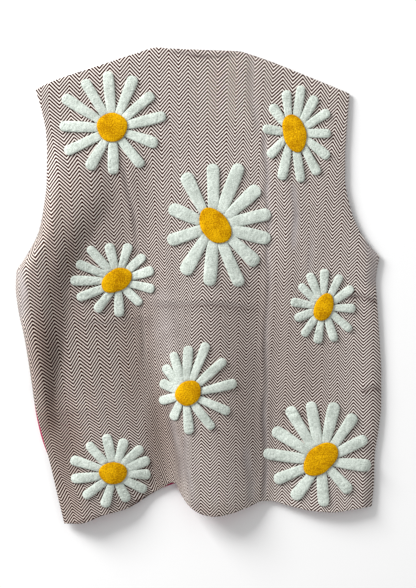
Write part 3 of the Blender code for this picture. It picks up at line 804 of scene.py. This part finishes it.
def petal_line(daisy, order, number, angle):
    """Root of one petal, its length, and the directions along and across it."""
    root = disc_edge(daisy, angle, HUB_SHARE)
    middle = np.array((daisy["x"] + daisy["shift_x"], daisy["y"] + daisy["shift_y"]))
    reach = np.array((daisy["reach_x"] * math.cos(angle), daisy["reach_y"] * math.sin(angle)))
    tip = middle + reach * (1 + uneven("reach", number, order))
    length = np.linalg.norm(tip - root)
    axis = (tip - root) / length
    return root, length, axis, np.array((-axis[1], axis[0]))


def petal_grid(daisy, order, number, angle, ground, noise):
    """Upper and lower grids of one petal, a round-ended pad that lies on the ground."""
    root, length, axis, side = petal_line(daisy, order, number, angle)
    along = np.sin(np.linspace(0, math.pi / 2, PETAL_STATIONS)) ** ROW_POWER
    stations, width_shares, thick_shares = np.array(PETAL_PROFILE).T
    end_length = PETAL_END * daisy["petal"]
    end = np.clip((along * length - (length - end_length)) / end_length, 0, 1)
    rounding = np.sqrt(np.clip(1 - end**END_POWER, 0, 1))
    widths = np.interp(along, stations, width_shares) * daisy["petal"] * np.maximum(rounding, LEAST_WIDTH)
    widths *= 1 + uneven("width", number, order, WIDTH_WAVE * along)
    thick = np.interp(along, stations, thick_shares) * PETAL_THICKNESS * rounding**THIN_POWER
    turn = np.linspace(-math.pi / 2, math.pi / 2, PETAL_COLUMNS)
    across = np.sign(turn) * abs(np.sin(turn)) ** ACROSS_POWER
    dome = np.cos(turn).clip(0) ** DOME_POWER
    bend = length * uneven("bend", number, order) * along**2
    centre = root + np.outer(along * length, axis) + np.outer(bend, side)
    plan = centre[:, None, :] + widths[:, None, None] * across[None, :, None] * side
    base = ground.heights(plan) + PETAL_LIFT
    edge = base + PETAL_EDGE
    lower = np.concatenate((plan, (edge - PETAL_EDGE * dome)[..., None]), axis=-1)
    upper = np.concatenate((plan, (edge + thick[:, None] * dome)[..., None]), axis=-1)
    pile = PILE * noise.normal(0, 1, plan.shape[:2])
    pile[:, [0, -1]] *= PILE_AT_SIDES
    pile *= (dome * rounding[:, None]).clip(0, 1)
    upper[..., 2] += pile
    upper[..., :2] += PILE_ACROSS * pile[..., None] * side
    for grid in (upper, lower):
        grid[[0, -1], :, 2] = edge[[0, -1]]
        grid[:, [0, -1], 2] = edge[:, [0, -1]]
    return upper, lower


def add_petals(name, daisy, order, ground, wool):
    """One daisy's petals."""
    noise = np.random.default_rng(FIRST_SEED + order)
    points, faces, start = [], [], 0
    for number, angle in enumerate(petal_angles(daisy, order)):
        upper, lower = petal_grid(daisy, order, number, angle, ground, noise)
        petal_points, petal_faces = closed_grid(upper, lower)
        points.append(petal_points)
        faces.append(petal_faces + start)
        start += len(petal_points)
    points, faces, node = np.concatenate(points), np.concatenate(faces), f"petals_{name}"
    piece = add_piece(f"{node}_wool", points, faces, points[:, :2], wool, node)


def disc_faces(count):
    """Faces of a disc whose points are an upper and a lower set of rings with one edge, and two tips."""
    rings = np.arange(count).reshape(-1, DISC_SIDES)
    below = rings.copy()
    below[1:] += count - DISC_SIDES
    top = 2 * count - DISC_SIDES
    faces = []
    for grid, tip, way in ((rings, top, 1), (below, top + 1, -1)):
        following = np.roll(grid, -1, axis=1)
        quads = np.stack((grid[:-1], following[:-1], following[1:], grid[1:]), axis=-1).reshape(-1, 4)
        caps = np.stack((grid[-1], following[-1], np.full(DISC_SIDES, tip)), axis=-1)
        faces += quads[:, ::way].tolist() + caps[:, ::way].tolist()
    return np.array(faces, dtype=object)


def add_disc(name, daisy, order, ground, wool):
    """The yellow disc of a daisy, a low dome over the roots of the petals."""
    turn = np.linspace(0, 2 * math.pi, DISC_SIDES, endpoint=False)
    radius = np.sin(np.linspace(math.pi / 2, 0, DISC_RINGS + 1)[:-1])
    edge = 1 + sum(share * np.sin(count * turn + step * order) for count, share, step in DISC_WAVES)
    centre = np.array((daisy["x"], daisy["y"]))
    plan = np.stack([disc_edge(daisy, turn, r) for r in radius])
    plan = centre + (plan - centre) * edge[None, :, None]
    dome = np.sqrt(1 - radius**2)[:, None] ** DISC_DOME_POWER
    base = ground.heights(plan) + DISC_LIFT
    across, up = swaying_waves(TUFT_WAVES, plan[..., 0], plan[..., 1], order)
    pile = TUFT_SHARE * PILE * (across + up) * dome
    upper = base + between(DISC_RIM, DISC_THICKNESS, dome) + pile
    lower = base + DISC_RIM * (1 - dome)
    upper[0] = lower[0] = base[0] + DISC_EDGE
    middle = ground.heights(centre[None, :])[0] + DISC_LIFT
    points = np.concatenate((
        np.concatenate((plan, upper[..., None]), axis=-1).reshape(-1, 3),
        np.concatenate((plan, lower[..., None]), axis=-1)[1:].reshape(-1, 3),
        [[*centre, middle + DISC_THICKNESS], [*centre, middle]],
    ))
    faces, node = disc_faces(upper.size), f"disc_{name}"
    piece = add_piece(f"{node}_wool", points, faces, points[:, :2], wool, node)


class Nodes:
    """Adds and links the nodes of one material or group."""

    def __init__(self, tree):
        self.tree = tree

    def add(self, kind, inputs=(), **settings):
        """A node of a kind, with its settings and what its sockets hold."""
        node = self.tree.nodes.new("ShaderNode" + kind)
        for key, value in settings.items():
            setattr(node, key, value)
        for key, value in dict(inputs).items():
            self.set(node.inputs[key], value)
        return node

    def set(self, socket, value):
        """Links a socket to another, or gives it a plain value."""
        if isinstance(value, bpy.types.NodeSocket):
            self.tree.links.new(value, socket)
        else:
            socket.default_value = value

    def math(self, operation, a, b=0.0):
        return self.add("Math", {0: a, 1: b}, operation=operation).outputs[0]

    def mix(self, share, a, b):
        """A colour between two. Sockets 6 and 7 hold the colours and output 2 the result."""
        return self.add("Mix", {0: share, 6: a, 7: b}, data_type="RGBA").outputs[2]

    def noise(self, place, scale, detail):
        return self.add("TexNoise", {"Vector": place, "Scale": scale, "Detail": detail}).outputs["Fac"]

    def rise(self, value, low, high):
        """0 to 1 as a value goes from low to high."""
        return self.add("MapRange", {0: value, 1: low, 2: high}).outputs[0]


def new_group(name, inputs, outputs):
    """A node group with its sockets: name of the socket, and its type."""
    tree = bpy.data.node_groups.new(name, "ShaderNodeTree")
    for side, sockets in (("INPUT", inputs), ("OUTPUT", outputs)):
        for socket, kind in sockets:
            tree.interface.new_socket(socket, in_out=side, socket_type="NodeSocket" + kind)
    nodes = Nodes(tree)
    entry = tree.nodes.new("NodeGroupInput")
    leave = tree.nodes.new("NodeGroupOutput")
    return nodes, entry.outputs, leave.inputs


def yarn_height(nodes, place):
    """Height across a yarn, 1 at its middle and 0 at its sides. A whole number is where a yarn starts."""
    across = nodes.math("SUBTRACT", nodes.math("MULTIPLY", nodes.math("FRACT", place), 2.0), 1.0)
    return nodes.math("SUBTRACT", 1.0, nodes.math("MULTIPLY", across, across))


def herringbone_group():
    """Two-and-two twill that turns back at each column line: light warp over dark weft."""
    nodes, given, made = new_group(
        "herringbone", [("Weave", "Vector")], [("Light yarn", "Float"), ("Height", "Float")]
    )
    split = nodes.add("SeparateXYZ", {0: given["Weave"]})
    column, up = split.outputs[0], split.outputs[1]
    zigzag = nodes.math("MULTIPLY", nodes.math("PINGPONG", column, 1.0), YARNS_PER_COLUMN)
    row = nodes.math("DIVIDE", up, YARN_PITCH)
    stepped = nodes.math("ADD", nodes.math("FLOOR", zigzag), nodes.math("FLOOR", row))
    straight = nodes.math("SUBTRACT", nodes.math("ADD", zigzag, row), 1.0)
    stepped_part = nodes.math("MULTIPLY", stepped, STEP_SHARE)
    straight_part = nodes.math("MULTIPLY", straight, 1 - STEP_SHARE)
    line = nodes.math("ADD", stepped_part, straight_part)
    light = nodes.math("LESS_THAN", nodes.math("FLOORED_MODULO", line, REPEAT_YARNS), LIGHT_YARNS)
    warp, weft = yarn_height(nodes, zigzag), yarn_height(nodes, row)
    height = nodes.add("Mix", {0: light, 2: weft, 3: warp}, data_type="FLOAT").outputs[0]
    nodes.set(made["Light yarn"], light)
    nodes.set(made["Height"], height)
    return nodes.tree


def fibre_group():
    """Grain of wool: tone varies from place to place, and fine fibres stand up. The grain is in mm."""
    nodes, given, made = new_group(
        "wool_fibre", [("Place", "Vector"), ("Grain", "Float")], [("Tone", "Float"), ("Fibre", "Float")]
    )
    fine = nodes.noise(given["Place"], nodes.math("DIVIDE", 1 / MM, given["Grain"]), 3.0)
    broad = nodes.noise(given["Place"], PATCHES, 1.0)
    fine_part = nodes.math("MULTIPLY", fine, FINE_SHARE)
    broad_part = nodes.math("MULTIPLY", broad, 1 - FINE_SHARE)
    nodes.set(made["Tone"], nodes.math("ADD", fine_part, broad_part))
    nodes.set(made["Fibre"], fine)
    return nodes.tree


HERRINGBONE = herringbone_group()
FIBRE = fibre_group()


def new_material(name):
    """A material with its nodes, its Principled shader and its row of the finishes."""
    finish = dict(zip(FINISH_COLUMNS, FINISHES[name]))
    made = bpy.data.materials.new(name)
    made.use_nodes = True
    shader = made.node_tree.nodes["Principled BSDF"]
    shader.inputs["Roughness"].default_value = finish["roughness"]
    shader.inputs["Sheen Weight"].default_value = finish["sheen"]
    shader.inputs["Sheen Roughness"].default_value = SHEEN_ROUGHNESS
    shader.inputs["Specular IOR Level"].default_value = finish["specular"]
    return made, Nodes(made.node_tree), shader, finish


def fibre(nodes, grain):
    """Tone and fibre of wool at each place of a piece."""
    place = nodes.add("TexCoord").outputs["Object"]
    node = nodes.add("Group", {"Place": place, "Grain": grain}, node_tree=FIBRE)
    return node.outputs["Tone"], node.outputs["Fibre"]


def yarn_colour(nodes, tone, name):
    """A named colour, darker and lighter with the tone of the fibre."""
    colour = dict(zip(COLOUR_COLUMNS, COLOURS[name]))
    share = nodes.rise(tone, colour["low_tone"], colour["high_tone"])
    return nodes.mix(share, colour["dark"], colour["light"])


def add_relief(nodes, shader, height, finish):
    """Fine relief of threads and fibre."""
    depth = finish["depth"] * MM
    bump = nodes.add("Bump", {"Height": height, "Strength": finish["relief"], "Distance": depth})
    nodes.set(shader.inputs["Normal"], bump.outputs[0])


def tweed_material():
    """Herringbone tweed of cream warp and brown weft, with painted shade on its slopes and at the edges of
    its creases, and worn places.
    """
    made, nodes, shader, finish = new_material("herringbone_tweed")
    places = nodes.add("UVMap", uv_map="weave").outputs[0]
    weave = nodes.add("Group", {"Weave": places}, node_tree=HERRINGBONE)
    tone, hair = fibre(nodes, finish["grain"])
    weft, warp = yarn_colour(nodes, tone, "brown_weft"), yarn_colour(nodes, tone, "cream_warp")
    cloth = nodes.mix(weave.outputs["Light yarn"], weft, warp)
    # Painted shade: the cloth's colour is darkened and browned by the painted shade of the back and at the
    # creases' edges.
    for attribute, darker in PAINTED_SHADE_TINTS.items():
        share = nodes.add("Attribute", attribute_name=attribute).outputs["Fac"]
        shaded = nodes.add("VectorMath", {0: cloth, 1: darker}, operation="MULTIPLY").outputs[0]
        cloth = nodes.mix(share, cloth, shaded)
    worn = nodes.add("Attribute", attribute_name="worn").outputs["Fac"]
    cloth = nodes.mix(worn, cloth, yarn_colour(nodes, tone, "worn_grey"))
    nodes.set(shader.inputs["Base Color"], cloth)
    height = nodes.math("ADD", weave.outputs["Height"], nodes.math("MULTIPLY", hair, YARN_HAIR))
    add_relief(nodes, shader, height, finish)
    return made


def plain_material(name):
    """Cloth or wool of one colour that varies with its fibre."""
    made, nodes, shader, finish = new_material(name)
    tone, hair = fibre(nodes, finish["grain"])
    nodes.set(shader.inputs["Base Color"], yarn_colour(nodes, tone, name))
    add_relief(nodes, shader, hair, finish)
    return made


def lining_material():
    """Crimson lining, smooth, with the fine grain of its fibre."""
    return plain_material("crimson_lining")


def petal_material():
    """Pale grey-green pile wool of the petals."""
    return plain_material("petal_wool")


def disc_material():
    """Yellow pile wool of the discs, with brown specks."""
    return plain_material("disc_wool")


def floor_material():
    """Matt off-white."""
    made = bpy.data.materials.new("pale_floor")
    made.use_nodes = True
    shader = made.node_tree.nodes["Principled BSDF"]
    shader.inputs["Base Color"].default_value = FLOOR_COLOUR
    shader.inputs["Roughness"].default_value = FLOOR_ROUGHNESS
    return made


def add_floor():
    """A plain pale floor, just under the cloth."""
    mesh = bpy.data.meshes.new("floor")
    low, high = -FLOOR_REACH, FLOOR_REACH
    corners = [(low, low, 0), (high, low, 0), (high, high, 0), (low, high, 0)]
    mesh.from_pydata(corners, [], [(0, 1, 2, 3)])
    mesh.materials.append(floor_material())
    floor = bpy.data.objects.new("floor", mesh)
    floor.location.z = -FLOOR_GAP * MM
    bpy.context.scene.collection.objects.link(floor)


def add_key_light():
    """The main light, a soft square that faces the garment."""
    lamp = bpy.data.lights.new("key", "AREA")
    lamp.size = KEY_SIZE
    lamp.energy = KEY_POWER
    light = bpy.data.objects.new("key", lamp)
    light.location = KEY_PLACE
    light.rotation_euler = Vector(KEY_PLACE).to_track_quat("Z", "Y").to_euler()
    bpy.context.scene.collection.objects.link(light)


def add_sky():
    """Even white light from all round."""
    world = bpy.data.worlds.new("studio")
    world.use_nodes = True
    background = world.node_tree.nodes["Background"]
    background.inputs["Color"].default_value = (1, 1, 1, 1)
    background.inputs["Strength"].default_value = SKY_STRENGTH
    bpy.context.scene.world = world


def add_camera():
    """A long lens straight over the garment, at the photograph's framing."""
    camera = bpy.data.cameras.new("camera")
    camera.sensor_fit = "VERTICAL"
    camera.sensor_height = SENSOR
    camera.lens = SENSOR * CAMERA_HEIGHT / (IMAGE_HEIGHT * MM_PER_PIXEL * MM)
    obj = bpy.data.objects.new("camera", camera)
    obj.location = ((CAMERA_OVER[0] + SHIFT[0]) * MM, (CAMERA_OVER[1] + SHIFT[1]) * MM, CAMERA_HEIGHT)
    bpy.context.scene.collection.objects.link(obj)
    bpy.context.scene.camera = obj


def main():
    """Builds the garment, the floor, the light and the camera."""
    tweed, lining = tweed_material(), lining_material()
    petal_wool, disc_wool = petal_material(), disc_material()
    back = add_back(tweed, lining)
    add_front("left", tweed, lining)
    add_front("right", tweed, lining)
    ground = Ground(back)
    for order, (name, row) in enumerate(DAISIES.items()):
        daisy = dict(zip(DAISY_COLUMNS, row))
        add_petals(name, daisy, order, ground, petal_wool)
        add_disc(name, daisy, order, ground, disc_wool)
    add_floor()
    add_sky()
    add_key_light()
    add_camera()
    bpy.context.scene.view_settings.view_transform = "Standard"


main()
